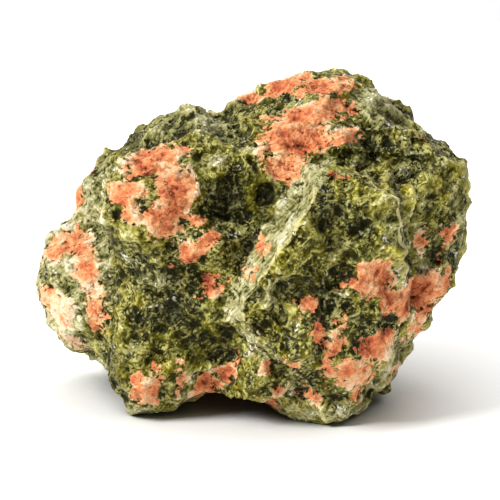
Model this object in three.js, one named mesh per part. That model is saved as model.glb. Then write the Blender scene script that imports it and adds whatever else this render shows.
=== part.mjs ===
// A rough, broken lump of unakite: one piece of rock, lying on three worn feet.
// Millimetres, +Z up, origin at the middle of the box's underside, the best face towards -Y.
//
// The stone is one solid whose surface is the zero level of a field. The field
// is negative in the rock. Broken facets bound the main mass and the block that
// stands proud of its front. Lobes are added, scoops and cracks are taken away,
// and shell-shaped chips of two sizes roughen the whole. Each vertex of a
// geodesic sphere walks inwards along its own ray, towards the heart of the
// stone, until it meets that surface.

import * as THREE from "three";
import { mergeVertices } from "three/addons/utils/BufferGeometryUtils.js";

// Driving dimensions
const LENGTH = 72;
const DEPTH = 51;
const HEIGHT = 53;

// The geodesic sphere, and each vertex's walk along its ray
const SPHERE_DETAIL = 21;
const HEART = [1, 0, 25];
const START_REACH = 60;
const PLAIN_STEPS = 18;
const PLAIN_STRIDE = 0.7;
const STEP_BACK = 5;
const ROUGH_STEPS = 14;
const ROUGH_STRIDE = 0.55;

// How softly the forms run into each other
const EDGE_ROUNDING = 2.0;
const BLOCK_ROUNDING = 0.7;
const BLOCK_BLEND = 0.5;
const LOBE_BLEND = 3.0;
const SCOOP_BLEND = 0.8;
const CRACK_BLEND = 0.9;

// Broken facets of the main mass: which way each one faces, and a point on it
const MASS_FACETS = [
  { name: "lower left front", faces: [-0.06, -0.97, -0.22], through: [-10, -18, 19] },
  { name: "upper left front", faces: [-0.12, -0.86, 0.48], through: [-12, -17, 34] },
  { name: "left side", faces: [-0.9, -0.43, 0.05], through: [-19.6, -15, 25] },
  { name: "lower left", faces: [-0.7, -0.25, -0.67], through: [-25.6, -8, 8] },
  { name: "left shoulder", faces: [-0.66, -0.1, 0.74], through: [-22.4, 2, 40.9] },
  { name: "top left slope", faces: [-0.06, -0.42, 0.9], through: [-10, -6, 46.4] },
  { name: "top slope", faces: [0, -0.71, 0.7], through: [7, -8.5, 45] },
  { name: "crest", faces: [0, -0.1, 0.99], through: [9, 6, 52.5] },
  { name: "crest left", faces: [-0.33, 0, 0.94], through: [-2.6, 5, 48.7] },
  { name: "right shoulder", faces: [0.5, -0.12, 0.85], through: [24.6, 3, 47.7] },
  { name: "right front", faces: [0.36, -0.92, 0.16], through: [27, -13.5, 32] },
  { name: "right upper side", faces: [0.83, -0.15, 0.5], through: [32.4, 3, 42.5] },
  { name: "right side", faces: [0.98, -0.2, 0.02], through: [36.3, 2, 29] },
  { name: "lower right", faces: [0.84, -0.08, -0.53], through: [28.4, 0, 11.4] },
  { name: "lower right front", faces: [0.6, -0.72, -0.34], through: [21, -17, 12] },
  { name: "underside", faces: [0, 0, -1], through: [0, 0, 1.4] },
  { name: "back", faces: [0.08, 0.98, 0.12], through: [0, 25, 26] },
  { name: "back left", faces: [-0.72, 0.68, 0.12], through: [-24, 15, 24] },
  { name: "back right", faces: [0.7, 0.71, 0.02], through: [25, 16, 26] },
  { name: "back top", faces: [0.05, 0.62, 0.78], through: [6, 16, 45] },
  { name: "back left top", faces: [-0.5, 0.48, 0.72], through: [-17, 10, 41] },
  { name: "back underside", faces: [-0.1, 0.76, -0.64], through: [0, 20, 8] },
  { name: "back right underside", faces: [0.62, 0.42, -0.66], through: [21, 11, 9] },
];

// Broken facets of the block that stands proud of the front
const BLOCK_FACETS = [
  { name: "front", faces: [0.03, -0.99, 0.05], through: [10, -25.5, 26] },
  { name: "front left", faces: [-0.3, -0.95, -0.05], through: [2, -24.6, 24] },
  { name: "front top", faces: [0.03, -0.93, 0.36], through: [12, -23.6, 36] },
  { name: "front right", faces: [0.5, -0.86, -0.08], through: [19.5, -22.8, 24] },
  { name: "front foot", faces: [0.1, -0.88, -0.46], through: [12, -22.6, 9] },
  { name: "pale left wall", faces: [-0.8, -0.24, 0.55], through: [5.9, -19, 35] },
  { name: "left point", faces: [-0.95, -0.26, 0], through: [-2.8, -20, 21.2] },
  { name: "lower left wall", faces: [-0.7, -0.26, -0.62], through: [1.6, -23.5, 14.2] },
  { name: "top", faces: [0.1, 0.16, 0.98], through: [13, -20, 41.4] },
  { name: "upper right corner", faces: [0.62, -0.3, 0.72], through: [19.8, -20, 39.2] },
  { name: "right wall", faces: [0.95, -0.3, 0.1], through: [23.4, -19, 31] },
  { name: "lower right wall", faces: [0.82, -0.34, -0.46], through: [21.5, -18, 12] },
  { name: "under", faces: [0, 0, -1], through: [0, 0, 1] },
  { name: "rear", faces: [0, 1, 0], through: [0, -10, 25] },
];

// Rounded masses that grow out of the stone: centre, half sizes, and turns in
// degrees about Z and then about Y
const LOBES = [
  { name: "left lobe", at: [-25, 4, 18.2], half: [12.4, 13, 11.4], turn: [0, 0] },
  { name: "right lobe", at: [25, 0, 32], half: [10.5, 15, 12], turn: [0, 8] },
  { name: "crest lump", at: [12, 6, 43], half: [12, 12, 11.5], turn: [0, 0] },
  { name: "upper left lump", at: [-15, -11.5, 33.5], half: [8, 8, 9], turn: [0, 20] },
  { name: "left top lump", at: [-11.2, 0, 40], half: [8.4, 9, 8.4], turn: [0, 0] },
  { name: "back lump", at: [-6, 15, 20], half: [16, 9.5, 13], turn: [10, 0] },
  { name: "left foot", at: [-15.4, -9.5, 8], half: [8.2, 8, 9], turn: [0, 0] },
  { name: "right foot", at: [11, -12, 7.5], half: [7.5, 7, 9], turn: [0, 0] },
  { name: "lower middle", at: [3, -13.5, 8.6], half: [6.5, 7, 6.5], turn: [0, 0] },
  { name: "back foot", at: [5, 13.5, 7.2], half: [8.5, 7, 8.5], turn: [0, 0] },
];

// Hollows broken out of the main mass, given as the lobes are
const SCOOPS = [
  { name: "bowl", at: [-0.8, -22, 36], half: [7, 9, 6.6], turn: [0, 30] },
  { name: "slick hollow", at: [-6.5, -23.5, 14], half: [9, 6.5, 3.8], turn: [0, 24] },
  { name: "arch", at: [-4.2, -14, -1.5], half: [6.8, 17, 5.3], turn: [0, 0] },
  { name: "valley by the wall", at: [0.2, -24.5, 30.5], half: [3.4, 7.5, 8.5], turn: [0, 36] },
  { name: "dip by the point", at: [-5.6, -24.5, 22.5], half: [4.2, 6.5, 6.5], turn: [0, 10] },
  { name: "shoulder pocket", at: [-19.5, -11, 46.5], half: [2.6, 5, 4.5], turn: [0, 25] },
  { name: "back scoop", at: [10, 29, 30], half: [11, 7, 9], turn: [0, 20] },
];

// Narrow cracks, and shallow dents in the block, each cut by a round-ended rod: both
// ends and half the width
const CRACKS = [
  { name: "gap behind the block", from: [11.5, -12.4, 41.2], to: [21.5, -12, 41], half: 1.9 },
  { name: "crack beside the block", from: [23.6, -15.8, 40.5], to: [25.6, -15.9, 30], half: 1.7 },
  { name: "lower crack", from: [25.6, -15.9, 30], to: [25.4, -14.6, 21], half: 1.4 },
  { name: "dish in the block", from: [10.6, -28.4, 36.5], to: [12.8, -28.4, 27.5], half: 4.7 },
  { name: "pit in the block", from: [5, -27.4, 22.6], to: [6, -27.2, 20.4], half: 3.5 },
  { name: "trough across the block", from: [12.5, -28.6, 15.2], to: [20, -27, 17.8], half: 4.2 },
  { name: "groove under the ledge", from: [16, -9.2, 45.2], to: [27, -8.8, 44.2], half: 1.4 },
];

// Roughness: slow swells, then shell-shaped chips
const SWELL = { size: 15, height: 1.3, salt: 11 };
const CHIPS = [
  { size: 10, height: 1.9, salt: 21 },
  { size: 5, height: 1.8, salt: 22 },
];
const CHIP_MEAN = 0.28;
const CHIP_TILT = 0.7;
const CHIP_STEP = 0.28;
const CHIP_TILT_SALT = 291;

// Multipliers and shifts that scramble a cell's place into 32 bits
const SCRAMBLE = { x: 0x8da6b343, y: 0xd8163841, z: 0xcb1ab31f, salt: 0x9e3779b1 };
const STIR = [
  { shift: 16, by: 0x85ebca6b },
  { shift: 13, by: 0xc2b2ae35 },
];
const LAST_SHIFT = 16;
const BYTE_BITS = 8;
const BYTE_TOP = 255;

const SMALLEST = 1e-6;

const STONE_COLOUR = 0x6f6b2c;
const STONE_ROUGHNESS = 0.7;

const radians = THREE.MathUtils.degToRad;
const dot = (a, b) => a[0] * b[0] + a[1] * b[1] + a[2] * b[2];
const minus = (a, b) => [a[0] - b[0], a[1] - b[1], a[2] - b[2]];

// Blending

function smoothMax(a, b, blend) {
  const near = Math.max(blend - Math.abs(a - b), 0) / blend;
  return Math.max(a, b) + (near * near * blend) / 4;
}

const smoothMin = (a, b, blend) => -smoothMax(-a, -b, blend);

// Roughness

// Four random bytes that belong to one cell of a grid
function cellBytes(x, y, z, salt) {
  let bits = Math.imul(x, SCRAMBLE.x) ^ Math.imul(y, SCRAMBLE.y) ^ Math.imul(z, SCRAMBLE.z);
  bits ^= Math.imul(salt, SCRAMBLE.salt);
  for (const { shift, by } of STIR) bits = Math.imul(bits ^ (bits >>> shift), by);
  return bits ^ (bits >>> LAST_SHIFT);
}

// One of the four bytes as a number from 0 to 1
const share = (bytes, n) => ((bytes >>> (BYTE_BITS * n)) & BYTE_TOP) / BYTE_TOP;

// The same as a number from -1 to 1
const signed = (bytes, n) => 2 * share(bytes, n) - 1;

// Smooth noise from -1 to 1: random slopes at the grid's corners, eased between them
function swell(p, { size, salt }) {
  const q = p.map((v) => v / size);
  const cell = q.map(Math.floor);
  const part = q.map((v, i) => v - cell[i]);
  const ease = part.map((t) => t * t * t * (t * (6 * t - 15) + 10));
  let sum = 0;
  for (let corner = 0; corner < 8; corner++) {
    const step = [corner & 1, (corner >> 1) & 1, corner >> 2];
    const bytes = cellBytes(cell[0] + step[0], cell[1] + step[1], cell[2] + step[2], salt);
    let slope = 0;
    let weight = 1;
    for (let i = 0; i < 3; i++) {
      slope += signed(bytes, i) * (part[i] - step[i]);
      weight *= step[i] ? ease[i] : 1 - ease[i];
    }
    sum += slope * weight;
  }
  return sum;
}

// Shell-shaped hollows with sharp ridges between them: the lowest of the tilted
// bowls that sit on the scattered seeds nearby
function chips(p, { size, salt }) {
  const q = p.map((v) => v / size);
  const [x, y, z] = q.map(Math.floor);
  let lowest = Infinity;
  for (let i = x - 1; i <= x + 1; i++)
    for (let j = y - 1; j <= y + 1; j++)
      for (let k = z - 1; k <= z + 1; k++) {
        const seat = cellBytes(i, j, k, salt);
        const lean = cellBytes(i, j, k, salt + CHIP_TILT_SALT);
        const offs = [q[0] - i - share(seat, 0), q[1] - j - share(seat, 1), q[2] - k - share(seat, 2)];
        let bowl = CHIP_STEP * signed(seat, 3);
        for (let a = 0; a < 3; a++) bowl += offs[a] * (offs[a] + CHIP_TILT * signed(lean, a));
        lowest = Math.min(lowest, bowl);
      }
  return lowest - CHIP_MEAN;
}

// Forms

// Distance from a body with flat facets, negative inside it
function facetedBody(p, facets, rounding) {
  let far = -Infinity;
  for (const { faces, through } of facets) {
    const height = dot(minus(p, through), faces) / Math.hypot(...faces);
    far = far === -Infinity ? height : smoothMax(far, height, rounding);
  }
  return far;
}

// Nearly the distance from a turned ellipsoid
function ellipsoid(p, { at, half, turn }) {
  const [aboutZ, aboutY] = turn.map(radians);
  const [x, y, z] = minus(p, at);
  const u = x * Math.cos(aboutZ) + y * Math.sin(aboutZ);
  const v = y * Math.cos(aboutZ) - x * Math.sin(aboutZ);
  const w = [
    u * Math.cos(aboutY) - z * Math.sin(aboutY),
    v,
    u * Math.sin(aboutY) + z * Math.cos(aboutY),
  ];
  const once = Math.hypot(w[0] / half[0], w[1] / half[1], w[2] / half[2]);
  const twice = Math.hypot(w[0] / half[0] ** 2, w[1] / half[1] ** 2, w[2] / half[2] ** 2);
  return (once * (once - 1)) / Math.max(twice, SMALLEST);
}

// Distance from a round-ended rod
function rod(p, { from, to, half }) {
  const along = minus(to, from);
  const way = THREE.MathUtils.clamp(dot(minus(p, from), along) / dot(along, along), 0, 1);
  return Math.hypot(...p.map((v, i) => v - from[i] - way * along[i])) - half;
}

// The broken stone before its chips: negative in the rock, positive outside it
function plainField(p) {
  let stone = facetedBody(p, MASS_FACETS, EDGE_ROUNDING);
  for (const lobe of LOBES) stone = smoothMin(stone, ellipsoid(p, lobe), LOBE_BLEND);
  for (const scoop of SCOOPS) stone = smoothMax(stone, -ellipsoid(p, scoop), SCOOP_BLEND);
  const block = facetedBody(p, BLOCK_FACETS, BLOCK_ROUNDING);
  stone = smoothMin(stone, block, BLOCK_BLEND);
  for (const crack of CRACKS) stone = smoothMax(stone, -rod(p, crack), CRACK_BLEND);
  return stone;
}

// The same with its swells and chips
function roughField(p) {
  let stone = plainField(p) - SWELL.height * swell(p, SWELL);
  for (const chip of CHIPS) stone -= chip.height * chips(p, chip);
  return stone;
}

// Surface

const alongRay = (ray, reach) => HEART.map((v, i) => v + reach * ray[i]);

// How far from the heart a ray leaves the stone, no lower than the ground
function reachOfSurface(ray) {
  let reach = START_REACH;
  for (let step = 0; step < PLAIN_STEPS; step++) {
    reach -= PLAIN_STRIDE * plainField(alongRay(ray, reach));
  }
  reach += STEP_BACK;
  for (let step = 0; step < ROUGH_STEPS; step++) {
    reach -= ROUGH_STRIDE * roughField(alongRay(ray, reach));
  }
  const ground = ray[2] < 0 ? HEART[2] / -ray[2] : Infinity;
  return Math.min(reach, ground);
}

// The stone's surface, flat where its feet stand, brought to its size
function stoneGeometry() {
  const sphere = new THREE.IcosahedronGeometry(1, SPHERE_DETAIL);
  sphere.deleteAttribute("normal");
  sphere.deleteAttribute("uv");
  const geometry = mergeVertices(sphere);
  const points = geometry.getAttribute("position");
  for (let i = 0; i < points.count; i++) {
    const ray = new THREE.Vector3().fromBufferAttribute(points, i).normalize().toArray();
    points.setXYZ(i, ...alongRay(ray, reachOfSurface(ray)));
  }
  geometry.computeBoundingBox();
  const { min, max } = geometry.boundingBox;
  geometry.translate(-(min.x + max.x) / 2, -(min.y + max.y) / 2, -min.z);
  geometry.scale(LENGTH / (max.x - min.x), DEPTH / (max.y - min.y), HEIGHT / (max.z - min.z));
  geometry.computeVertexNormals();
  return geometry;
}

const unakite = new THREE.Group();
const stone = new THREE.Mesh(
  stoneGeometry(),
  new THREE.MeshStandardMaterial({ color: STONE_COLOUR, roughness: STONE_ROUGHNESS, metalness: 0 }),
);
stone.name = "stone";
unakite.add(stone);

export default unakite;
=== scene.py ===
"""A rough lump of unakite, olive green and salmon pink, lying on a pale floor.

The stone's skin is worked out with numpy from the solid's own facets, lobes, hollows and chips,
on a finer grid, with finer chips on top. The stone's tables are in millimetres, and its mesh is
brought to metres when it is made.
"""

import logging
import math
from dataclasses import dataclass, field
from enum import Enum
from typing import Any, Sequence

import bpy
import numpy as np
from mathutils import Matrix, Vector


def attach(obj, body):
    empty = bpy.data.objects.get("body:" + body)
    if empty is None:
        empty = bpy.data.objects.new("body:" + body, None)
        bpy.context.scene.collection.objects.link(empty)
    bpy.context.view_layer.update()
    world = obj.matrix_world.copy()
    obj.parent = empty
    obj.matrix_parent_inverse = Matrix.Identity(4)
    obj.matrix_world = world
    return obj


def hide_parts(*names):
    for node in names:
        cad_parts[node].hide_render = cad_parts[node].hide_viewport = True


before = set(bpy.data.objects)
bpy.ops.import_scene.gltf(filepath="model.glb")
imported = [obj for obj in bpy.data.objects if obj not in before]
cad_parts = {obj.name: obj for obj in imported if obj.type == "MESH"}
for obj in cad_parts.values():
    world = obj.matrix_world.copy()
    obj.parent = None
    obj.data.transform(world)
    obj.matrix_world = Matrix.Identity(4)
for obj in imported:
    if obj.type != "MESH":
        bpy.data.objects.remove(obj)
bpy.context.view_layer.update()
SCENE = bpy.context.scene

LOG = logging.getLogger("unakite")
MM = 0.001

Array = np.ndarray
Triple = tuple[float, float, float]
Pair = tuple[float, float]
Stops = tuple[tuple[float, Triple], ...]
Shares = tuple[tuple[str, float], ...]

# The front view: how far down it looks, its width, and how far forward the patches' plane lies
TILT = math.radians(12.0)
PICTURE_WIDTH = 81.45
FRONT_PLANE = 17.0


@dataclass(frozen=True)
class Facet:
    """A broken flat: the way it faces and a point on it."""

    name: str
    faces: Triple
    through: Triple


@dataclass(frozen=True)
class Lump:
    """An ellipsoid: centre, half sizes, and turns in degrees about Z and then about Y."""

    name: str
    at: Triple
    half: Triple
    turn: Pair = (0, 0)


@dataclass(frozen=True)
class Crack:
    """A round-ended rod: both ends and half the width."""

    name: str
    start: Triple
    end: Triple
    half: float


@dataclass(frozen=True)
class Patch:
    """An ellipse on the stone as seen from the front: centre, half sizes, degrees of turn."""

    name: str
    x: float
    y: float
    wide: float
    tall: float
    turn: float = 0


@dataclass(frozen=True)
class Chips:
    """Shell-shaped chips of one size: the size, how far in they go, and their random salt."""

    size: float
    height: float
    salt: int


def table(kind: type, *rows: tuple) -> tuple:
    """Makes each row of a table into one of its kind."""
    return tuple(kind(*row) for row in rows)


MASS_FACETS = table(
    Facet,
    ("lower left front", (-0.06, -0.97, -0.22), (-10, -18, 19)),
    ("upper left front", (-0.12, -0.86, 0.48), (-12, -17, 34)),
    ("left side", (-0.9, -0.43, 0.05), (-19.6, -15, 25)),
    ("lower left", (-0.7, -0.25, -0.67), (-25.6, -8, 8)),
    ("left shoulder", (-0.66, -0.1, 0.74), (-22.4, 2, 40.9)),
    ("top left slope", (-0.06, -0.42, 0.9), (-10, -6, 46.4)),
    ("top slope", (0, -0.71, 0.7), (7, -8.5, 45)),
    ("crest", (0, -0.1, 0.99), (9, 6, 52.5)),
    ("crest left", (-0.33, 0, 0.94), (-2.6, 5, 48.7)),
    ("right shoulder", (0.5, -0.12, 0.85), (24.6, 3, 47.7)),
    ("right front", (0.36, -0.92, 0.16), (27, -13.5, 32)),
    ("right upper side", (0.83, -0.15, 0.5), (32.4, 3, 42.5)),
    ("right side", (0.98, -0.2, 0.02), (36.3, 2, 29)),
    ("lower right", (0.84, -0.08, -0.53), (28.4, 0, 11.4)),
    ("lower right front", (0.6, -0.72, -0.34), (21, -17, 12)),
    ("underside", (0, 0, -1), (0, 0, 1.4)),
    ("back", (0.08, 0.98, 0.12), (0, 25, 26)),
    ("back left", (-0.72, 0.68, 0.12), (-24, 15, 24)),
    ("back right", (0.7, 0.71, 0.02), (25, 16, 26)),
    ("back top", (0.05, 0.62, 0.78), (6, 16, 45)),
    ("back left top", (-0.5, 0.48, 0.72), (-17, 10, 41)),
    ("back underside", (-0.1, 0.76, -0.64), (0, 20, 8)),
    ("back right under", (0.62, 0.42, -0.66), (21, 11, 9)),
)
BLOCK_FACETS = table(
    Facet,
    ("front", (0.03, -0.99, 0.05), (10, -25.5, 26)),
    ("front left", (-0.3, -0.95, -0.05), (2, -24.6, 24)),
    ("front top", (0.03, -0.93, 0.36), (12, -23.6, 36)),
    ("front right", (0.5, -0.86, -0.08), (19.5, -22.8, 24)),
    ("front foot", (0.1, -0.88, -0.46), (12, -22.6, 9)),
    ("pale left wall", (-0.8, -0.24, 0.55), (5.9, -19, 35)),
    ("left point", (-0.95, -0.26, 0), (-2.8, -20, 21.2)),
    ("lower left wall", (-0.7, -0.26, -0.62), (1.6, -23.5, 14.2)),
    ("top", (0.1, 0.16, 0.98), (13, -20, 41.4)),
    ("upper right corner", (0.62, -0.3, 0.72), (19.8, -20, 39.2)),
    ("right wall", (0.95, -0.3, 0.1), (23.4, -19, 31)),
    ("lower right wall", (0.82, -0.34, -0.46), (21.5, -18, 12)),
    ("under", (0, 0, -1), (0, 0, 1)),
    ("rear", (0, 1, 0), (0, -10, 25)),
)
LOBES = table(
    Lump,
    ("left lobe", (-25, 4, 18.2), (12.4, 13, 11.4)),
    ("right lobe", (25, 0, 32), (10.5, 15, 12), (0, 8)),
    ("crest lump", (12, 6, 43), (12, 12, 11.5)),
    ("upper left lump", (-15, -11.5, 33.5), (8, 8, 9), (0, 20)),
    ("left top lump", (-11.2, 0, 40), (8.4, 9, 8.4)),
    ("back lump", (-6, 15, 20), (16, 9.5, 13), (10, 0)),
    ("left foot", (-15.4, -9.5, 8), (8.2, 8, 9)),
    ("right foot", (11, -12, 7.5), (7.5, 7, 9)),
    ("lower middle", (3, -13.5, 8.6), (6.5, 7, 6.5)),
    ("back foot", (5, 13.5, 7.2), (8.5, 7, 8.5)),
)
SCOOPS = table(
    Lump,
    ("bowl", (-0.8, -22, 36), (7, 9, 6.6), (0, 30)),
    ("slick hollow", (-6.5, -23.5, 14), (9, 6.5, 3.8), (0, 24)),
    ("arch", (-4.2, -14, -1.5), (6.8, 17, 5.3)),
    ("valley by the wall", (0.2, -24.5, 30.5), (3.4, 7.5, 8.5), (0, 36)),
    ("dip by the point", (-5.6, -24.5, 22.5), (4.2, 6.5, 6.5), (0, 10)),
    ("shoulder pocket", (-19.5, -11, 46.5), (2.6, 5, 4.5), (0, 25)),
    ("back scoop", (10, 29, 30), (11, 7, 9), (0, 20)),
)
CRACKS = table(
    Crack,
    ("gap behind the block", (11.5, -12.4, 41.2), (21.5, -12, 41), 1.9),
    ("crack beside the block", (23.6, -15.8, 40.5), (25.6, -15.9, 30), 1.7),
    ("lower crack", (25.6, -15.9, 30), (25.4, -14.6, 21), 1.4),
    ("dish in the block", (10.6, -28.4, 36.5), (12.8, -28.4, 27.5), 4.7),
    ("pit in the block", (5, -27.4, 22.6), (6, -27.2, 20.4), 3.5),
    ("block trough", (12.5, -28.6, 15.2), (20, -27, 17.8), 4.2),
    ("groove under the ledge", (16, -9.2, 45.2), (27, -8.8, 44.2), 1.4),
)
FELDSPAR = table(
    Patch,
    ("shoulder band", -14.5, 40.6, 4.9, 2.3, 12),
    ("shoulder left", -18.1, 35.5, 3.6, 2, -15),
    ("shoulder right", -10.8, 35.4, 3.1, 4.1),
    ("shoulder tip", -12.7, 31.8, 2.8, 3.1),
    ("below the shoulder", -17.6, 31.8, 2.4, 0.8, -5),
    ("small streak", -7.8, 27.5, 3.7, 1.5, 35),
    ("bowl speck", -7.8, 31.5, 1, 0.8),
    ("middle speck", -5.7, 21.4, 1.8, 1.3, 20),
    ("top band", 8.8, 47.8, 7, 2.3, 14),
    ("top middle", 7, 43.8, 5.9, 2.8, 10),
    ("top foot", 5.2, 39.8, 2.8, 2.3),
    ("crest right", 12.1, 53.1, 4.6, 1.8, 10),
    ("crest left", 5.2, 53.6, 4.4, 1.8, 25),
    ("crest edge", 0.2, 52, 3.6, 0.8, 8),
    ("top right corner", 14.5, 44.7, 2.3, 1.3, 20),
    ("block middle", 18.1, 22.8, 3.3, 2.8, 15),
    ("block fringe", 15.3, 22, 2, 1, -10),
    ("block right", 20.4, 19.7, 1.5, 2.3, -10),
    ("block far right", 23.1, 19.1, 1.8, 3.3, -10),
    ("block speck 1", 8.2, 19.1, 1.3, 1.5, -20),
    ("block speck 2", 9.9, 15.6, 0.8, 1.5, 10),
    ("block streak", 12.6, 14, 1.1, 2.6, -15),
    ("block speck 3", 11.6, 9.9, 0.8, 2),
    ("block low right", 19.1, 12.4, 3.3, 2.1, 30),
    ("block low", 15.3, 8.6, 3.4, 2.3, -15),
    ("block low tip", 16.3, 5.9, 0.8, 1.5),
    ("right lobe low", 27.7, 21.5, 3.6, 2.3, 30),
    ("right lobe foot", 26.1, 15.6, 3.3, 1.3, 62),
    ("right rim", 23.5, 8.2, 2.1, 1, 38),
    ("right lobe speck", 26.1, 28.2, 1.3, 1.3),
    ("right lobe ridge", 30.5, 29, 0.7, 1.8, -25),
    ("wall speck", 1.8, 28, 0.8, 1),
    ("wall speck low", -0.7, 23.6, 0.7, 1.1, -10),
    ("lower left", -16.1, 5.7, 2.3, 2.6, -10),
    ("lower left tip", -14.2, 8.6, 1, 1.3),
    ("low left speck", -10.6, 7, 0.7, 1.5),
    ("arch left", -7.5, 5.7, 1.1, 3.4, -30),
    ("arch right", -4.1, 7, 1.1, 2.8, -30),
    ("left lobe top", -28.7, 36.8, 1.5, 3.7, -5),
    ("left lobe band", -26.2, 24.9, 2, 5.9, 17),
    ("left lobe upper", -31.1, 27.5, 3.3, 2, 40),
    ("left lobe lower", -30.3, 17.6, 3.3, 2.6, -40),
    ("left edge low", -24.3, 17.8, 1.5, 3.6, 12),
    ("left lobe far", -33.4, 20, 1.3, 1.3),
    ("left lobe under", -28.7, 12.4, 2.3, 0.8, -35),
    ("foot speck 1", 5.9, 10.4, 1.3, 0.8, -10),
    ("foot speck 2", 2.3, 9.1, 0.8, 1.1),
    ("foot speck 3", 0.5, 11.6, 0.7, 1.3),
    ("foot speck 4", 9.3, 4.6, 1.6, 0.8, -40),
    ("foot speck 5", 2.8, 3.1, 1.6, 0.8, -10),
    ("foot speck 6", 4.6, 5.7, 0.5, 1.3, -30),
)
PALE = table(
    Patch,
    ("lower ridge", 1.8, 12.1, 1.1, 6.2, 40),
    ("left face", -24.6, 35.2, 2.8, 8.2),
    ("left face low", -23.3, 26.6, 1.6, 6.8),
    ("left underside", -24.6, 7.5, 1.6, 5.5, 30),
    ("shoulder facet", -14.3, 45.8, 1.8, 3.6, -30),
    ("right underside", 21.7, 8.6, 1.6, 7.3, -38),
    ("right ledge", 21.8, 46.1, 7.2, 0.5),
    ("block rim", 14.8, 40.4, 6.2, 0.4, -2),
    ("right lobe ridge", 31.3, 33.6, 0.7, 4.9, 8),
    ("bowl rim", -2.4, 41.6, 4.6, 0.5, 22),
    ("top speckle", -6.2, 46.1, 4.2, 1.5),
    ("middle speckle", -14, 22.5, 3.3, 1.5, 10),
    ("block speckle", 3.1, 20.2, 2, 2.1),
    ("front foot", 12.1, 2.1, 6.8, 1.1),
    ("left foot rim", -16.5, 1.5, 5.5, 1, -12),
    ("top right slope", 21, 49.4, 5, 3.2, -30),
    # painted light: pale patches where the lit left lobe and top left wash out
    ("left lobe veil", -30.5, 23, 5.2, 12),
    ("top left veil", -9, 47.5, 7, 2.4, 15),
)
# Painted shade: dark patches where the front's hollows, crevices, bowl and the valley beside the block
# fall in shade
SHADE_PATCHES = table(
    Patch,
    ("bowl floor", 1.1, 34.7, 3.9, 4.2),
    ("slick hollow", -6, 13.2, 6.2, 2.4, 20),
    ("block crevice", 21.4, 35.2, 1, 1.8),
    ("long crevice", 24.6, 25.4, 0.7, 4.2, 4),
    ("shoulder pocket", -19.1, 44.5, 1.5, 3.3, -38),
    ("gap behind the block", 15.6, 42.1, 3.3, 1, 8),
    ("left edge hollow", -20.7, 26.9, 0.8, 4.9),
    ("dish in the block", 11, 30.5, 2.8, 4.2),
    ("block hollow", 8.5, 22, 2.4, 1.8, 20),
    ("low left hollow", -20.5, 8, 2.1, 4.2, 20),
    ("bowl left", -4.2, 35.2, 2, 3.6, -10),
    ("valley by the wall", 0.8, 29.4, 1.3, 6.2, -36),
    ("middle hollow", -12.4, 16.8, 5.5, 2, 12),
    ("left notch", -28.5, 21.4, 1.5, 1.5),
    ("foot hollow", 12.6, 4.7, 1.3, 1.5),
)


# Noise on a grid of cells, the same as the solid's

SCRAMBLE = tuple(np.uint32(v) for v in (0x8DA6B343, 0xD8163841, 0xCB1AB31F))
SCRAMBLE_SALT = 0x9E3779B1
STIR = ((np.uint32(16), np.uint32(0x85EBCA6B)), (np.uint32(13), np.uint32(0xC2B2AE35)))
LAST_SHIFT = np.uint32(16)
WORD = 0xFFFFFFFF
BYTE_TOP = 255


def cell_bits(cell: Array, salt: int) -> Array:
    """Gives each grid cell 32 random bits: its three places times odd numbers, stirred twice.

    Args:
        cell: Whole-number places, three to a row.
        salt: What makes these bits its own.

    Returns:
        A number for each row.
    """
    bits = cell[:, 0] * SCRAMBLE[0] ^ cell[:, 1] * SCRAMBLE[1] ^ cell[:, 2] * SCRAMBLE[2]
    bits = bits ^ np.uint32((salt * SCRAMBLE_SALT) & WORD)
    for shift, by in STIR:
        bits = (bits ^ (bits >> shift)) * by
    return bits ^ (bits >> LAST_SHIFT)


def share(bits: Array, which: int) -> Array:
    """One of the four bytes of each number, scaled to run from 0 to 1."""
    return ((bits >> np.uint32(8 * which)) & np.uint32(BYTE_TOP)).astype(float) / BYTE_TOP


def into_cells(points: Array, size: float) -> tuple[Array, Array]:
    """Splits points into the cells that hold them and their places inside those cells.

    Args:
        points: Points in millimetres.
        size: The cells' side.

    Returns:
        The cells' whole numbers, and the places inside them from 0 to 1.
    """
    scaled = points / size
    base = np.floor(scaled)
    return base.astype(np.int64).astype(np.uint32), scaled - base


def swell(points: Array, size: float, salt: int) -> Array:
    """Smooth noise about 0: random slopes at the cells' corners, eased between the corners.

    Args:
        points: Points in millimetres.
        size: The cells' side.
        salt: What makes this noise its own.

    Returns:
        A number for each point, mostly from -0.6 to 0.6.
    """
    cell, part = into_cells(points, size)
    ease = part**3 * (part * (6 * part - 15) + 10)
    total = np.zeros(len(points))
    for corner in np.ndindex(2, 2, 2):
        step = np.array(corner)
        bits = cell_bits(cell + step.astype(np.uint32), salt)
        slope = sum((2 * share(bits, a) - 1) * (part[:, a] - step[a]) for a in range(3))
        total += slope * np.prod(np.where(step == 1, ease, 1 - ease), axis=1)
    return total


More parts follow.
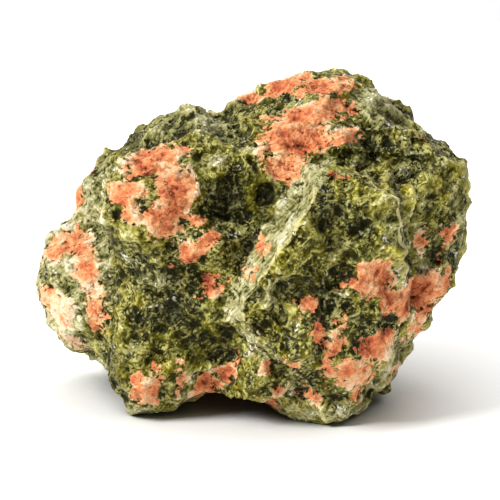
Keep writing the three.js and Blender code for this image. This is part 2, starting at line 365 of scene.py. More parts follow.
@dataclass(frozen=True)
class ChipStyle:
    """How a broken surface's chips look: mean level, tilt of each bowl, and steps between them."""

    mean: float = 0.28
    tilt: float = 0.7
    step: float = 0.28
    tilt_salt: int = 291

    def bowls(self, points: Array, chips: Chips) -> tuple[Array, Array, Array]:
        """Shell-shaped hollows with sharp ridges between them.

        Each cell's seed bears a bowl: the squared distance from it, plus a tilt, plus a step.
        The surface is the lowest of the 27 nearest bowls, less the mean.

        Args:
            points: The points.
            chips: The size and salt to use.

        Returns:
            The level in units of the chips' height, how much higher the second lowest bowl is,
            and a random number from 0 to 1 for the lowest bowl.
        """
        cell, part = into_cells(points, chips.size)
        lowest, second = np.full(len(points), np.inf), np.full(len(points), np.inf)
        tone = np.zeros(len(points))
        for near in np.ndindex(3, 3, 3):
            step = np.array(near) - 1
            there = cell + step.astype(np.int64).astype(np.uint32)
            seat = cell_bits(there, chips.salt)
            lean = cell_bits(there, chips.salt + self.tilt_salt)
            bowl = self.step * (2 * share(seat, 3) - 1)
            for a in range(3):
                off = part[:, a] - step[a] - share(seat, a)
                bowl = bowl + off * (off + self.tilt * (2 * share(lean, a) - 1))
            tone = np.where(bowl < lowest, share(lean, 3), tone)
            second = np.minimum(second, np.maximum(bowl, lowest))
            lowest = np.minimum(lowest, bowl)
        return lowest - self.mean, second - lowest, tone

    def level(self, points: Array, chips: Chips) -> Array:
        """The level of the hollows alone."""
        return self.bowls(points, chips)[0]


def smooth_max(a: Array, b: Array, blend: float) -> Array:
    """The larger of two fields, rounded where they differ by less than the blend."""
    near = np.maximum(blend - np.abs(a - b), 0) / blend
    return np.maximum(a, b) + near * near * blend / 4


def smooth_min(a: Array, b: Array, blend: float) -> Array:
    """The smaller of two fields, rounded where they differ by less than the blend."""
    return -smooth_max(-a, -b, blend)


def gather(values: Array, into: Array, count: int) -> Array:
    """Adds up rows of values by the vertex that each belongs to."""
    return np.stack([np.bincount(into, values[:, a], count) for a in range(values.shape[1])], axis=1)


def neighbours_middle(points: Array, quads: Array) -> Array:
    """The mean place of each vertex's neighbours: its quads' corners on either side of it.

    Args:
        points: The vertices.
        quads: Each quad's vertices.

    Returns:
        A point for each vertex.
    """
    total, count = 0.0, np.bincount(quads.ravel(), minlength=len(points))[:, None]
    for corner in range(4):
        for beside in (1, 3):
            total = total + gather(points[quads[:, (corner + beside) % 4]], quads[:, corner], len(points))
    return total / (2 * count)


def vertex_normals(points: Array, quads: Array) -> Array:
    """Outward unit normals: at each vertex the sum of its quads' diagonals' cross products.

    Args:
        points: The vertices.
        quads: Each quad's vertices.

    Returns:
        A unit normal for each vertex.
    """
    face = np.cross(points[quads[:, 2]] - points[quads[:, 0]], points[quads[:, 3]] - points[quads[:, 1]])
    total = gather(np.repeat(face, 4, axis=0), quads.ravel(), len(points))
    return total / np.maximum(np.linalg.norm(total, axis=1, keepdims=True), 1e-12)


@dataclass
class StoneForm:
    """The stone as a field: negative in the rock, positive outside it, in millimetres."""

    heart: Triple = (1.0, 0.0, 25.0)
    edge_rounding: float = 2.0
    block_rounding: float = 0.7
    block_blend: float = 0.5
    lobe_blend: float = 3.0
    scoop_blend: float = 0.8
    crack_blend: float = 0.9
    swell_size: float = 15.0
    swell_height: float = 1.3
    swell_salt: int = 11
    chips: tuple[Chips, ...] = (Chips(10.0, 1.9, 21), Chips(5.0, 1.8, 22))
    style: ChipStyle = ChipStyle()
    start_reach: float = 60.0
    wall_facets: tuple[str, ...] = ("pale left wall", "left point")
    side_facets: tuple[str, ...] = ("lower left wall", "top", "upper right corner", "right wall")
    skin_depth: float = 0.9
    rim_width: float = 0.34
    wall_depth: float = 8.5
    wall_fade: float = 0.3
    plain_steps: int = 22
    plain_stride: float = 0.7
    evening_rounds: int = 8
    evening_steps: int = 2
    rough_steps: int = 10
    stride: float = 0.6
    longest_step: float = 0.4
    loose: float = 0.8
    loose_rounds: int = 3

    def faceted(self, points: Array, facets: Sequence[Facet], rounding: float) -> Array:
        """A body with flat sides: the largest height above any facet, rounded at the edges.

        Args:
            points: The points.
            facets: The flats that bound the body.
            rounding: How wide the edges are rounded.

        Returns:
            Nearly the distances from the body.
        """
        far = np.full(len(points), -np.inf)
        for facet in facets:
            faces = np.array(facet.faces) / np.linalg.norm(facet.faces)
            height = (points - np.array(facet.through)) @ faces
            far = height if np.isinf(far[0]) else smooth_max(far, height, rounding)
        return far

    def ellipsoid(self, points: Array, lump: Lump) -> Array:
        """Nearly the distance from a turned ellipsoid: k(k-1)/m, with k and m the lengths of
        the point over the half sizes once and twice.

        Args:
            points: The points.
            lump: The ellipsoid.

        Returns:
            The distances.
        """
        about_z, about_y = np.radians(lump.turn)
        x, y, z = (points - np.array(lump.at)).T
        u = x * np.cos(about_z) + y * np.sin(about_z)
        v = y * np.cos(about_z) - x * np.sin(about_z)
        turned = [u * np.cos(about_y) - z * np.sin(about_y), v, u * np.sin(about_y) + z * np.cos(about_y)]
        own = np.stack(turned, axis=1)
        once = np.linalg.norm(own / lump.half, axis=1)
        twice = np.linalg.norm(own / np.square(lump.half), axis=1)
        return once * (once - 1) / np.maximum(twice, 1e-6)

    def rod(self, points: Array, crack: Crack) -> Array:
        """The distance from a round-ended rod: from the nearest point of its middle line.

        Args:
            points: The points.
            crack: The rod.

        Returns:
            The distances.
        """
        start, along = np.array(crack.start), np.subtract(crack.end, crack.start)
        way = np.clip((points - start) @ along / (along @ along), 0, 1)
        return np.linalg.norm(points - start - way[:, None] * along, axis=1) - crack.half

    def plain(self, points: Array) -> Array:
        """The broken stone before its chips, at each point."""
        stone = self.faceted(points, MASS_FACETS, self.edge_rounding)
        for lobe in LOBES:
            stone = smooth_min(stone, self.ellipsoid(points, lobe), self.lobe_blend)
        for scoop in SCOOPS:
            stone = smooth_max(stone, -self.ellipsoid(points, scoop), self.scoop_blend)
        block = self.faceted(points, BLOCK_FACETS, self.block_rounding)
        stone = smooth_min(stone, block, self.block_blend)
        for crack in CRACKS:
            stone = smooth_max(stone, -self.rod(points, crack), self.crack_blend)
        return stone

    def rough(self, points: Array) -> Array:
        """The stone with its swells and coarse chips, at each point."""
        stone = self.plain(points) - self.swell_height * swell(points, self.swell_size, self.swell_salt)
        for chips in self.chips:
            stone = stone - chips.height * self.style.level(points, chips)
        return stone

    def block_edges(self, points: Array) -> tuple[Array, Array]:
        """How far inside the block's pale wall, and inside the rim of its face, points lie.

        With a, b and c the heights above the wall, the other sides and the face, the wall is
        where a is largest and c not too low, and the rim where c nearly equals the larger of a
        and b, both on the block's own skin.

        Args:
            points: Points on the plain surface.

        Returns:
            The two distances.
        """
        wall = [facet for facet in BLOCK_FACETS if facet.name in self.wall_facets]
        sides = [facet for facet in BLOCK_FACETS if facet.name in self.side_facets]
        face = [facet for facet in BLOCK_FACETS if facet.name.startswith("front")]
        heights = [self.faceted(points, facets, self.block_rounding) for facets in (wall, sides, face)]
        skin = self.skin_depth - np.abs(self.faceted(points, BLOCK_FACETS, self.block_rounding))
        on_wall = np.minimum(heights[0] - np.maximum(heights[1], heights[2]) + self.rim_width, skin)
        on_wall = np.minimum(on_wall, (self.wall_depth + heights[2]) * self.wall_fade)
        on_rim = self.rim_width - np.abs(np.maximum(heights[0], heights[1]) - heights[2])
        return on_wall, np.minimum(on_rim, skin)

    def along(self, rays: Array, reach: Array) -> Array:
        """The points that lie a given reach from the heart along each ray."""
        return np.array(self.heart) + reach[:, None] * rays

    def plain_reach(self, rays: Array, reach: Array, steps: int) -> Array:
        """Walks in along the rays to the plain surface: each step is a share of the field.

        Args:
            rays: Unit rays from the heart.
            reach: Where each walk starts.
            steps: How many steps it takes.

        Returns:
            The surface's reach along each ray.
        """
        for _ in range(steps):
            reach = reach - self.plain_stride * self.plain(self.along(rays, reach))
        return reach

    def first_reach(self, rays: Array) -> Array:
        """The reach of the plain surface along each ray, walked in from well outside."""
        return self.plain_reach(rays, np.full(len(rays), self.start_reach), self.plain_steps)

    def onto(self, points: Array, quads: Array, shape: Any, steps: int) -> Array:
        """Moves points along the mesh's normals onto a field's surface, no lower than the ground.

        Args:
            points: The points.
            quads: Each quad's points.
            shape: The field, called on the points.
            steps: How many steps to take.

        Returns:
            The moved points.
        """
        normals = vertex_normals(points, quads)
        for _ in range(steps):
            step = np.clip(self.stride * shape(points), -self.longest_step, self.longest_step)
            points = points - step[:, None] * normals
        points[:, 2] = np.maximum(points[:, 2], 0)
        return points

    def surface(self, rays: Array, quads: Array) -> tuple[Array, Array]:
        """The plain surface and the chipped one, no lower than the ground.

        Walks in along the rays find the plain surface. The points are evened out on it, and
        move along their normals to the chipped one. A point far from its neighbours goes back
        between them.

        Args:
            rays: Unit rays from the heart.
            quads: Each quad's points.

        Returns:
            The points on both surfaces.
        """
        reach = self.first_reach(rays)
        ground = self.heart[2] / np.maximum(-rays[:, 2], 1e-9)
        plain = self.along(rays, np.minimum(reach, ground))
        for _ in range(self.evening_rounds):
            plain = self.onto(neighbours_middle(plain, quads), quads, self.plain, self.evening_steps)
        points = self.onto(plain, quads, self.rough, self.rough_steps)
        for _ in range(self.loose_rounds):
            middle = neighbours_middle(points, quads)
            far = np.linalg.norm(points - middle, axis=1, keepdims=True) > self.loose
            points = np.where(far, middle, points)
        return plain, points


@dataclass
class SphereGrid:
    """A ball's surface as six square grids folded onto it, with their shared edges joined."""

    cells: int

    def directions(self) -> Array:
        """Unit directions on six grids: (±1, tan a, tan b), with a and b evenly spaced."""
        t = np.tan(np.linspace(-np.pi / 4, np.pi / 4, self.cells + 1))
        u, v = np.meshgrid(t, t, indexing="ij")
        one = np.ones_like(u)
        faces = [(one, u, v), (-one, v, u), (v, one, u), (u, -one, v), (u, v, one), (v, u, -one)]
        grid = np.stack([np.stack(f, axis=-1) for f in faces])
        return grid / np.linalg.norm(grid, axis=-1, keepdims=True)

    def joined(self) -> tuple[Array, Array, Array]:
        """Joins the grids where their edges meet.

        Returns:
            Each joined vertex's first place among the grids' points, each of those points'
            joined vertex, and the quads, facing outwards.
        """
        n = self.cells
        points = self.directions().reshape(-1, 3)
        key = np.round(points * 1e6).astype(np.int64)
        _, first, back = np.unique(key, axis=0, return_index=True, return_inverse=True)
        back = back.reshape(-1)
        i, j = np.meshgrid(np.arange(n), np.arange(n), indexing="ij")
        a = (i * (n + 1) + j).ravel()
        quad = np.stack([a, a + n + 1, a + n + 2, a + 1], axis=1)
        quads = np.concatenate([quad + face * (n + 1) ** 2 for face in range(6)])
        return first, back, back[quads]


def finer(grid: Array, times: int) -> Array:
    """Puts more rows and columns into square grids, by straight lines between the old ones.

    Args:
        grid: Six grids of points, shaped (6, n + 1, n + 1, 3).
        times: How many new steps each old step becomes.

    Returns:
        The six finer grids.
    """
    n = grid.shape[1] - 1
    at = np.linspace(0, n, n * times + 1)
    low = np.minimum(at.astype(int), n - 1)
    part = (at - low)[:, None]
    rows = grid[:, low] * (1 - part)[:, None] + grid[:, low + 1] * part[:, None]
    return rows[:, :, low] * (1 - part) + rows[:, :, low + 1] * part


def across(at: float, over: float, values: Array) -> Array:
    """A smooth step from 0 to 1 as the values run from one bound to the other."""
    t = np.clip((values - at) / (over - at), 0, 1)
    return t * t * (3 - 2 * t)


@dataclass
class Markings:
    """Where the stone's feldspar and crushed rock lie, and the front's painted shade: signed distances in
    millimetres, positive inside.
    """

    minerals_and_shade: tuple[tuple[str, Sequence[Patch], float, int, float], ...] = (
        ("feldspar", FELDSPAR, 11.0, 61, 0.20),
        ("crushed", PALE, 10.0, 71, 0.26),
        # painted shade in the front's hollows; on the other sides a darker tone at random
        ("deep", SHADE_PATCHES, 9.0, 81, 0.26),
    )
    outside: float = -10.0
    turned_away: Pair = (-0.25, 0.05)

    def front_plane(self, points: Array) -> tuple[Array, Array]:
        """Each point's place in the front view, across and up."""
        return points[:, 0], points[:, 2] * math.cos(TILT) + (points[:, 1] + FRONT_PLANE) * math.sin(TILT)

    def inside(self, points: Array, patches: Sequence[Patch]) -> Array:
        """How far inside the nearest patch each point lies, as seen from the front.

        Args:
            points: The points.
            patches: The ellipses.

        Returns:
            The largest (1 - k) times the smaller half size, k being the length over the half sizes.
        """
        across_, up = self.front_plane(points)
        best = np.full(len(points), self.outside)
        for patch in patches:
            turn = math.radians(patch.turn)
            x, y = across_ - patch.x, up - patch.y
            u, v = x * math.cos(turn) + y * math.sin(turn), y * math.cos(turn) - x * math.sin(turn)
            k = np.hypot(u / patch.wide, v / patch.tall)
            best = np.maximum(best, (1 - k) * min(patch.wide, patch.tall))
        return best

    def scattered(self, points: Array, size: float, salt: int, level: float) -> Array:
        """Patches made up for the other sides, from noise over a level."""
        noise = swell(points, size, salt) + 0.5 * swell(points, size / 2, salt + 1)
        return (noise - level) * size

    def all(self, points: Array, normals: Array) -> dict[str, Array]:
        """The front's own patches where the surface faces it, and scattered ones elsewhere.

        Args:
            points: The points.
            normals: Their outward normals.

        Returns:
            Each mineral's signed distances, and those of the painted shade, by its name.
        """
        facing = -normals[:, 1] * math.cos(TILT) + normals[:, 2] * math.sin(TILT)
        front = across(*self.turned_away, facing)
        marks = {}
        for name, patches, size, salt, level in self.minerals_and_shade:
            far = self.scattered(points, size, salt, level)
            marks[name] = front * self.inside(points, patches) + (1 - front) * far
        return marks


def placed(name: str, data: Any) -> bpy.types.Object:
    """Makes an object from its data and puts it in the scene."""
    thing = bpy.data.objects.new(name, data)
    SCENE.collection.objects.link(thing)
    return thing


@dataclass
class Stone:
    """The unakite's skin: its grid, fine chips, markings and mesh."""

    length: float = 72.0
    depth: float = 51.0
    height: float = 53.0
    coarse_cells: int = 42
    times: int = 3
    evening_rounds: int = 60
    fine_chips: tuple[Chips, ...] = (Chips(2.4, 1.25, 23), Chips(1.25, 0.52, 24))
    calmed: float = 0.45
    worn_height: float = 5.0
    blunt_above: float = 0.45
    blunted: float = 0.3
    broad_share: float = 1.1
    ridge_width: float = 0.14
    ridge_size: float = 2.4
    coarse_tone: float = 1.6
    tone_spread: float = 2.4
    feldspar_edge: Pair = (-1.0, 1.0)
    wall_edge: Pair = (-0.3, 0.2)
    worn_from: float = -2.0
    walk_from: float = 0.5
    walk_steps: int = 4
    form: StoneForm = field(default_factory=StoneForm)
    markings: Markings = field(default_factory=Markings)

    def evened_rays(self) -> Array:
        """Rays from the heart, spread so that they meet the plain stone at even distances.

        On a coarse grid each ray turns to the middle of its surface point's neighbours, over
        and over. The finer grid's rays lie straight between the coarse ones.

        Returns:
            Unit rays on six fine grids.
        """
        grid = SphereGrid(self.coarse_cells)
        first, back, quads = grid.joined()
        rays = grid.directions().reshape(-1, 3)[first]
        reach = self.form.first_reach(rays)
        for _ in range(self.evening_rounds):
            middle = neighbours_middle(self.form.along(rays, reach), quads) - np.array(self.form.heart)
            reach = np.linalg.norm(middle, axis=1)
            rays = middle / reach[:, None]
            reach = self.form.plain_reach(rays, reach + self.walk_from, self.walk_steps)
        whole = rays[back].reshape(6, self.coarse_cells + 1, self.coarse_cells + 1, 3)
        fine = finer(whole, self.times)
        return fine / np.linalg.norm(fine, axis=-1, keepdims=True)

    def skin(self) -> tuple[Array, Array, dict[str, Array]]:
        """The whole skin in millimetres, at its real size.

        The coarse surface, brought to the stone's box, moves along its normals by the fine
        chips' levels, less on the feldspar, the wall and the worn feet, with blunt tips, and no
        lower than the ground.

        Returns:
            The vertices, the quads, and the numbers that each vertex carries.
        """
        first, _, quads = SphereGrid(self.coarse_cells * self.times).joined()
        plain, points = self.form.surface(self.evened_rays().reshape(-1, 3)[first], quads)
        broad, ridge, tone = self.form.style.bowls(points, self.form.chips[-1])
        ridge, tone = across(self.ridge_width / 2, 0.0, ridge), (tone - 0.5) * self.coarse_tone
        wall, rim = self.form.block_edges(plain)
        low, high = points.min(axis=0), points.max(axis=0)
        points = points - [(low[0] + high[0]) / 2, (low[1] + high[1]) / 2, low[2]]
        points = points * np.array([self.length, self.depth, self.height]) / (high - low)
        normals = vertex_normals(points, quads)
        marks = self.markings.all(points, normals)
        marks |= {"wall": wall, "rim": rim}
        smooth = np.maximum(across(*self.feldspar_edge, marks["feldspar"]), across(*self.wall_edge, wall))
        calm = (1 - self.calmed * smooth) * across(self.worn_from, self.worn_height, points[:, 2])
        relief = np.zeros(len(points))
        for chips in self.fine_chips:
            level, rise, random = self.form.style.bowls(points, chips)
            relief += chips.height * calm * level
            ridge = np.maximum(ridge, across(self.ridge_width * self.ridge_size / chips.size, 0.0, rise))
            tone += (random - 0.5) * chips.size**0.5
        marks |= {"relief": relief + self.broad_share * broad, "ridge": ridge}
        marks["tone"] = 0.5 + tone / self.tone_spread
        relief = np.minimum(relief, self.blunt_above + (relief - self.blunt_above) * self.blunted)
        points = points + relief[:, None] * normals
        points[:, 2] = np.maximum(points[:, 2], 0)
        return points, quads, marks

    def build(self, finish: "UnakiteFinish") -> bpy.types.Object:
        """Makes the stone's mesh, marks it and dresses it.

        Args:
            finish: The stone's material.

        Returns:
            The finished object, at the origin.
        """
        points, quads, marks = self.skin()
        mesh = bpy.data.meshes.new("unakite_skin")
        mesh.from_pydata((points * MM).tolist(), [], quads.tolist())
        mesh.update()
        for name, values in marks.items():
            layer = mesh.attributes.new(name, "FLOAT", "POINT")
            layer.data.foreach_set("value", values.astype(np.float32))
        mesh.polygons.foreach_set("use_smooth", np.ones(len(mesh.polygons), dtype=bool))
        mesh.materials.append(finish.make())
        stone = placed("unakite_skin", mesh)
        LOG.info("skin: %d vertices, %d quads", len(points), len(quads))
        return stone


# Shader maths


class Value:
    """A shader socket that can be used in Python arithmetic."""

    def __init__(self, shop: "Shader", socket: Any) -> None:
        """Keeps the socket and the shader that it belongs to."""
        self.shop = shop
        self.socket = socket

    def _maths(self, operation: str, *values: Any) -> "Value":
        """Adds one Math node on the given values."""
        return self.shop.node("ShaderNodeMath", {"operation": operation}, dict(enumerate(values)))

    def __add__(self, other: Any) -> "Value":
        """This plus the other."""
        return self._maths("ADD", self, other)

    __radd__ = __add__

    def __mul__(self, other: Any) -> "Value":
        """This times the other."""
        return self._maths("MULTIPLY", self, other)

    __rmul__ = __mul__

    def __sub__(self, other: Any) -> "Value":
        """This less the other."""
        return self._maths("SUBTRACT", self, other)

    def __rsub__(self, other: Any) -> "Value":
        """The other less this."""
        return self._maths("SUBTRACT", other, self)

    def over(self, low: float, high: float) -> "Value":
        """A smooth step from 0 to 1 as this runs from low to high."""
        settings = {"interpolation_type": "SMOOTHSTEP"}
        return self.shop.node("ShaderNodeMapRange", settings, {0: self, 1: low, 2: high})


class Shader:
    """A material's node tree, built by expressions."""

    def __init__(self, name: str) -> None:
        """Makes the material with its plain shader."""
        self.material = bpy.data.materials.new(name)
        self.material.use_nodes = True
        self.tree = self.material.node_tree
        self.surface = self.tree.nodes["Principled BSDF"]

    def node(self, kind: str, settings: dict[str, Any], sockets: dict[Any, Any], out: Any = 0) -> Value:
        """Adds a node: its settings first, then its sockets.

        Args:
            kind: The node's type.
            settings: The node's attributes, or "stops" for a ramp's places and colours.
            sockets: Values or links by socket name or number.
            out: The output to hand back.

        Returns:
            The chosen output.
        """
        node = self.tree.nodes.new(kind)
        for key, value in settings.items():
            if key == "stops":
                self._stops(node.color_ramp, value)
            else:
                setattr(node, key, value)
        self.feed(node, sockets)
        return Value(self, node.outputs[out])

    @staticmethod
    def _stops(ramp: Any, stops: Stops) -> None:
        """Sets a ramp's places and colours."""
        while len(ramp.elements) < len(stops):
            ramp.elements.new(1.0)
        for element, (place, colour) in zip(ramp.elements, stops):
            element.position = place
            element.color = (*colour, 1.0)

    def feed(self, node: bpy.types.Node, sockets: dict[Any, Any]) -> None:
        """Links a value to each of a node's sockets, or sets a number or colour on it."""
        for key, value in sockets.items():
            if isinstance(value, Value):
                self.tree.links.new(value.socket, node.inputs[key])
            else:
                node.inputs[key].default_value = value

    def attribute(self, name: str) -> Value:
        """A number that the mesh carries at each vertex."""
        return self.node("ShaderNodeAttribute", {"attribute_name": name}, {}, "Fac")

    def ramp(self, value: Value, stops: Stops) -> Value:
        """A colour looked up from a number."""
        return self.node("ShaderNodeValToRGB", {"stops": stops}, {"Fac": value})

    def mix(self, share_: Any, under: Any, over: Any) -> Value:
        """Lays one colour over another by a share.

        Args:
            share_: How much of the upper colour shows.
            under: The lower colour.
            over: The upper colour.

        Returns:
            The mixed colour.
        """
        settings = {"data_type": "RGBA", "clamp_factor": True}
        return self.node("ShaderNodeMix", settings, {0: share_, 6: under, 7: over}, 2)

    def vector(self, operation: str, *values: Any, out: Any = 0) -> Value:
        """One Vector Math node on the given vectors."""
        return self.node("ShaderNodeVectorMath", {"operation": operation}, dict(enumerate(values)), out)

    def noise(self, where: Value, size: float, detail: float = 3.0, rough: float = 0.6) -> Value:
        """Soft noise from 0 to 1 with lumps of about the given size."""
        sockets = {"Vector": where, "Scale": 1 / size, "Detail": detail, "Roughness": rough}
        return self.node("ShaderNodeTexNoise", {}, sockets, "Fac")


@dataclass(frozen=True)
class Grain:
    """One size of grain: a random number and the height of a tilted face."""

    random: Value
    tilt: Value


@dataclass(frozen=True)
class UnakiteFinish:
    """Epidote green, feldspar pink and crushed pale rock, grain by grain, with painted shade in hollows
    and pits, and painted glints among the white flecks.
    """

    name: str = "unakite"
    bend: float = 0.9
    middle_grain: float = 0.74
    fine_grain: float = 0.34
    epidote: Stops = (
        (0.08, (0.01, 0.01, 0)),
        (0.28, (0.04, 0.038, 0.001)),
        (0.46, (0.106, 0.096, 0.003)),
        (0.63, (0.216, 0.195, 0.018)),
        (0.8, (0.41, 0.376, 0.098)),
        (0.97, (0.75, 0.715, 0.4)),
    )
    feldspar: Stops = (
        (0.02, (0.2, 0.045, 0.018)),
        (0.26, (0.56, 0.135, 0.056)),
        (0.48, (0.77, 0.245, 0.096)),
        (0.68, (0.86, 0.42, 0.19)),
        (0.92, (0.9, 0.68, 0.45)),
    )
    crushed: Stops = (
        (0.1, (0.055, 0.056, 0.01)),
        (0.32, (0.215, 0.205, 0.06)),
        (0.6, (0.53, 0.495, 0.245)),
        (0.95, (0.9, 0.87, 0.69)),
    )
    moss: Triple = (1.06, 0.98, 0.3)
    # white flecks: partly pale grains, partly painted glints
    quartz_and_glint: Triple = (0.86, 0.86, 0.8)
    rim: Triple = (0.66, 0.62, 0.23)
    edge: Triple = (0.68, 0.6, 0.27)
    # dark specks: dark grains at random, and painted shade in pits where the relief is low
    pit: Triple = (0.014, 0.014, 0.001)
    streak_ways: tuple[Triple, ...] = ((0.22, 0.0, 0.22), (-1.7, 0.3, 1.7), (0.0, 1.1, 0.0))
    green_shine: float = 0.42
    feldspar_shine: float = 0.70
    specular: float = 0.12
    broad_size: float = 6.5
    patchy_size: float = 3.2
    patchy_from: Triple = (31.0, 17.0, 5.0)
    mossy_size: float = 4.2
    mossy_from: Triple = (5.0, 43.0, 19.0)
    ragged_size: float = 2.4
    ragged_by: Pair = (5.5, 0.8)
    speckled: Pair = (0.19, 0.17)
    # Painted shade: each ramp darkens where the chips' relief is low, and lightens along the chip ridges
    chip_shade_and_ridges_by: Pair = (0.28, 0.18)
    # darkening and streaks of the painted shade in hollows
    hollow_tone: Pair = (0.5, 0.20)
    green_tone: Shares = (
        ("level", 0.415), ("chip", 0.28), ("speckle", 1), ("chip_shade_and_ridges", 1), ("broad", 0.5), ("hollow", 1),
    )
    crushed_tone: Shares = (
        ("level", 0.43), ("wall", 0.03), ("speckle", 1), ("chip_shade_and_ridges", 1), ("streaks", 1.1), ("patchy", 0.6),
    )
    pink_tone: Shares = (
        ("level", 0.4), ("patchy", 1.2), ("chip", 0.22), ("speckle", 0.7), ("chip_shade_and_ridges", 0.9),
        ("fringe", 0.22), ("pale", 0.15),
    )
    # Each attribute, how ragged its edge is, and where it runs from nothing to all
    masks: tuple[tuple[str, float, float, float], ...] = (
        ("feldspar", 1, -0.1, 0.1),
        ("feldspar", 1, 0, 1.6),
        ("wall", 0.06, -0.06, 0.06),
        ("rim", 0.05, -0.05, 0.12),
        ("crushed", 1, -0.6, 0.8),
        # the painted shade
        ("deep", 1, -1, 1.5),
    )
    # Clustered and lone white flecks: partly pale grains, partly painted glints
    flecked: Pair = (0.60, 0.66)
    fleck: Pair = (0.76, 0.82)
    lone_fleck: Pair = (0.985, 0.99)
    lone_share: float = 0.14
    rim_share: float = 0.62
    edge_shares: Pair = (0.35, 0.62)
    pale_share: float = 0.8
    wall_share: float = 0.92

    def grain(self, shader: Shader, where: Value, size: float) -> Grain:
        """Cells of one size, each a flat cleavage face with its own tilt.

        The tilt is the distance from the cell's seed along a random direction of its own.

        Args:
            shader: The shader to build in.
            where: The place in millimetres.
            size: The cells' size.

        Returns:
            The grain.
        """
        sockets = {"Vector": where, "Scale": 1 / size}
        seed = shader.node("ShaderNodeTexVoronoi", {"feature": "F1"}, sockets, "Position")
        colour = Value(shader, seed.socket.node.outputs["Color"])
        way = shader.vector("SUBTRACT", colour, (0.5, 0.5, 0.5))
        off = shader.vector("SUBTRACT", where, seed)
        tilt = shader.vector("DOT_PRODUCT", off, way, out="Value")
        return Grain(shader.node("ShaderNodeSeparateXYZ", {}, {0: colour}, 0), tilt)

    @staticmethod
    def tone(shares: Shares, patterns: dict[str, Any]) -> Value:
        """A mineral's place on its ramp: each named pattern times its share, added up."""
        return sum(patterns[name] * part for name, part in shares)

    def make(self) -> bpy.types.Material:
        """Builds the material.

        Returns:
            The material.
        """
        s = Shader(self.name)
        place = s.node("ShaderNodeTexCoord", {}, {}, "Object")
        straight = s.vector("MULTIPLY", place, (1 / MM, 1 / MM, 1 / MM))
        bend = s.node("ShaderNodeTexNoise", {}, {"Vector": straight, "Scale": 0.9, "Detail": 2.0}, "Color")
        bend = s.vector("MULTIPLY", s.vector("SUBTRACT", bend, (0.5, 0.5, 0.5)), (self.bend,) * 3)
        where = s.vector("ADD", straight, bend)
        middle = self.grain(s, where, self.middle_grain)
        fine = self.grain(s, where, self.fine_grain)
        relief, ridge, chip = (s.attribute(name) for name in ("relief", "ridge", "tone"))
        patchy = s.noise(s.vector("ADD", straight, self.patchy_from), self.patchy_size)
        ragged = (s.noise(straight, self.ragged_size, 5.0, 0.7) - 0.5) * self.ragged_by[0]
        ragged = ragged + (middle.random - 0.5) * self.ragged_by[1]
        drawn = [s.vector("DOT_PRODUCT", straight, way, out="Value") for way in self.streak_ways]
        streaks = s.noise(s.node("ShaderNodeCombineXYZ", {}, dict(enumerate(drawn))), 1.0) - 0.5

        pink, core, wall, edge, pale, deep = (
            (s.attribute(name) + ragged * by).over(low, high) for name, by, low, high in self.masks
        )
        patterns = {
            "level": 1.0,
            "chip": chip - 0.5,
            "speckle": (middle.random - 0.5) * self.speckled[0] + (fine.random - 0.5) * self.speckled[1],
            # painted shade in the chips' hollows, lighter along their ridges
            "chip_shade_and_ridges": relief * self.chip_shade_and_ridges_by[0] + ridge * self.chip_shade_and_ridges_by[1],
            "broad": s.noise(straight, self.broad_size, 4.0) - 0.5,
            "patchy": patchy - 0.5,
            "streaks": streaks,
            # painted shade: darker, with streaks, where the shade patches lie
            "hollow": deep * (streaks * self.hollow_tone[0] - self.hollow_tone[1]),
            "wall": wall,
            "pale": pale,
            "fringe": 1 - core,
        }

        colour = s.ramp(self.tone(self.green_tone, patterns), self.epidote)
        mossy = s.noise(s.vector("ADD", straight, self.mossy_from), self.mossy_size, 2.0).over(0.40, 0.62)
        colour = s.mix(mossy, colour, s.vector("MULTIPLY", colour, self.moss))
        rim = ridge * (patchy + (fine.random - 0.5) * 0.4).over(0.38, 0.60) * (1 - deep * 0.7)
        colour = s.mix(rim * self.rim_share, colour, (*self.rim, 1.0))
        crushed = s.ramp(self.tone(self.crushed_tone, patterns), self.crushed)
        colour = s.mix(pale * self.pale_share, colour, crushed)
        colour = s.mix(wall * self.wall_share, colour, crushed)
        edge = edge * (patchy.over(0.36, 0.50) * self.edge_shares[0] + self.edge_shares[1])
        colour = s.mix(edge, colour, (*self.edge, 1.0))
        bare = 1 - deep
        # white flecks: partly pale grains, partly painted glints
        quartz_and_glint = patchy.over(*self.flecked) * bare * fine.random.over(*self.fleck) * 0.9
        quartz_and_glint = quartz_and_glint + fine.random.over(*self.lone_fleck) * bare * self.lone_share
        colour = s.mix(quartz_and_glint, colour, (*self.quartz_and_glint, 1.0))
        salmon = s.ramp(self.tone(self.pink_tone, patterns), self.feldspar)
        colour = s.mix(pink, colour, salmon)
        # dark specks at random, more where the relief is low: partly dark grains, partly painted shade in
        # pits
        pit = (0.04 - middle.random * 0.5 - fine.random * 0.3 - relief * 0.25).over(-0.10, 0.0)
        colour = s.mix(pit * (0.85 - pink * 0.45), colour, (*self.pit, 1.0))

        rough = self.green_shine + (self.feldspar_shine - self.green_shine) * pink
        height = middle.tilt * 0.75 + fine.tilt * 0.8 + s.noise(straight, 0.6) * 0.16
        bump = s.node("ShaderNodeBump", {}, {"Strength": 1.0, "Distance": MM, "Height": height})
        s.feed(s.surface, {"Base Color": colour, "Roughness": rough, "Normal": bump})
        s.feed(s.surface, {"Specular IOR Level": self.specular})
        return s.material


class Softness(Enum):
    """How wide a light looks from the stone, in degrees."""

    WINDOW = 22.0
    OVERCAST = 60.0


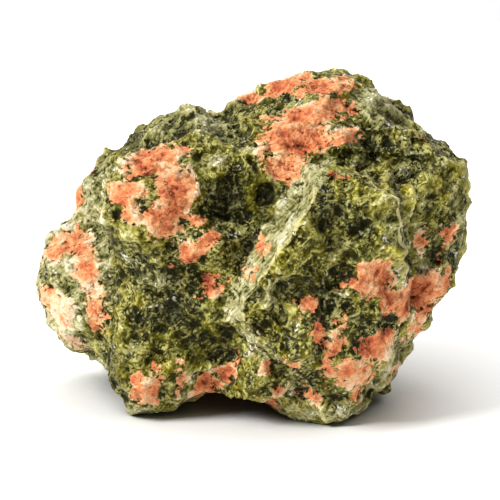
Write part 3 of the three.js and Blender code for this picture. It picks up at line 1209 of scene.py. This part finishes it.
@dataclass
class Studio:
    """The pale floor, the light and the camera."""

    lens: float = 85.0
    sensor: float = 36.0
    aim_height: float = 24.0
    floor_half: float = 3.0
    key_from: Triple = (-0.72, -0.30, 0.62)
    key_strength: float = 4.2
    top_from: Triple = (0.30, 0.60, 0.80)
    top_strength: float = 1.6
    room_light: float = 0.22
    floor_glow: float = 0.52

    @staticmethod
    def face(thing: bpy.types.Object, back: Vector) -> None:
        """Turns a camera or light to look against the given way."""
        thing.rotation_mode = "QUATERNION"
        thing.rotation_quaternion = (-back).to_track_quat("-Z", "Y")

    def camera(self) -> None:
        """Puts the camera where the photograph was taken from."""
        data = bpy.data.cameras.new("camera")
        data.lens, data.sensor_width = self.lens, self.sensor
        half_angle = math.atan(self.sensor / 2 / self.lens)
        distance = PICTURE_WIDTH * MM / 2 / math.tan(half_angle)
        back = Vector((0.0, -math.cos(TILT), math.sin(TILT)))
        camera = placed("camera", data)
        camera.location = Vector((0.0, 0.0, self.aim_height * MM)) + back * distance
        self.face(camera, back)
        data.clip_start, data.clip_end = 0.01, 10.0
        bpy.context.scene.camera = camera

    def floor(self) -> None:
        """A plain white floor that glows a little, with painted shadow: its glow and colour darken where
        the stone covers it.
        """
        h = self.floor_half
        mesh = bpy.data.meshes.new("floor")
        mesh.from_pydata([(-h, -h, 0), (h, -h, 0), (h, h, 0), (-h, h, 0)], [], [(0, 1, 2, 3)])
        s = Shader("pale_floor")
        s.feed(s.surface, {"Roughness": 0.9, "Specular IOR Level": 0.1})
        s.feed(s.surface, {"Emission Strength": self.floor_glow})
        # painted shadow: the glow and the colour darken under and beside the stone
        painted_shadow_ao = s.node("ShaderNodeAmbientOcclusion", {"samples": 8}, {"Distance": 0.03}, "AO")
        glow = s.mix(painted_shadow_ao.over(0.40, 1.0), (0.0, 0.0, 0.0, 1.0), (1.0, 0.99, 0.98, 1.0))
        pale = s.mix(painted_shadow_ao.over(0.05, 0.42), (0.10, 0.10, 0.10, 1.0), (0.86, 0.86, 0.85, 1.0))
        s.feed(s.surface, {"Base Color": pale, "Emission Color": glow})
        mesh.materials.append(s.material)
        placed("floor", mesh)

    def light(self, name: str, come_from: Triple, strength: float, softness: Softness) -> None:
        """One soft light, far enough away to light all alike.

        Args:
            name: The light's name.
            come_from: The way to it from the stone.
            strength: How strong it is.
            softness: How wide it looks from the stone.
        """
        data = bpy.data.lights.new(name, "SUN")
        data.angle, data.energy = math.radians(softness.value), strength
        self.face(placed(name, data), Vector(come_from))

    def room(self) -> None:
        """An even white room, brighter to the camera than as a light."""
        world = bpy.data.worlds.new("room")
        world.use_nodes = True
        tree = world.node_tree
        path = tree.nodes.new("ShaderNodeLightPath")
        strength = tree.nodes.new("ShaderNodeMapRange")
        strength.inputs["To Min"].default_value = self.room_light
        strength.inputs["To Max"].default_value = 1.0
        tree.links.new(path.outputs["Is Camera Ray"], strength.inputs["Value"])
        background = tree.nodes["Background"]
        background.inputs["Color"].default_value = (1.0, 1.0, 1.0, 1.0)
        tree.links.new(strength.outputs["Result"], background.inputs["Strength"])
        SCENE.world = world

    def build(self) -> None:
        """Sets up the camera, the floor and the light."""
        self.camera()
        self.floor()
        self.light("key", self.key_from, self.key_strength, Softness.WINDOW)
        self.light("top", self.top_from, self.top_strength, Softness.OVERCAST)
        self.room()
        SCENE.view_settings.view_transform = "Standard"


def main() -> None:
    """Builds the studio and the stone."""
    logging.basicConfig(level=logging.INFO, format="%(name)s: %(message)s")
    Studio().build()
    LOG.info("studio: camera, floor and lights")
    cells = {}
    stone = Stone(**cells).build(UnakiteFinish())
    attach(stone, "root")
    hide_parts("stone")


if __name__ == "__main__":
    main()
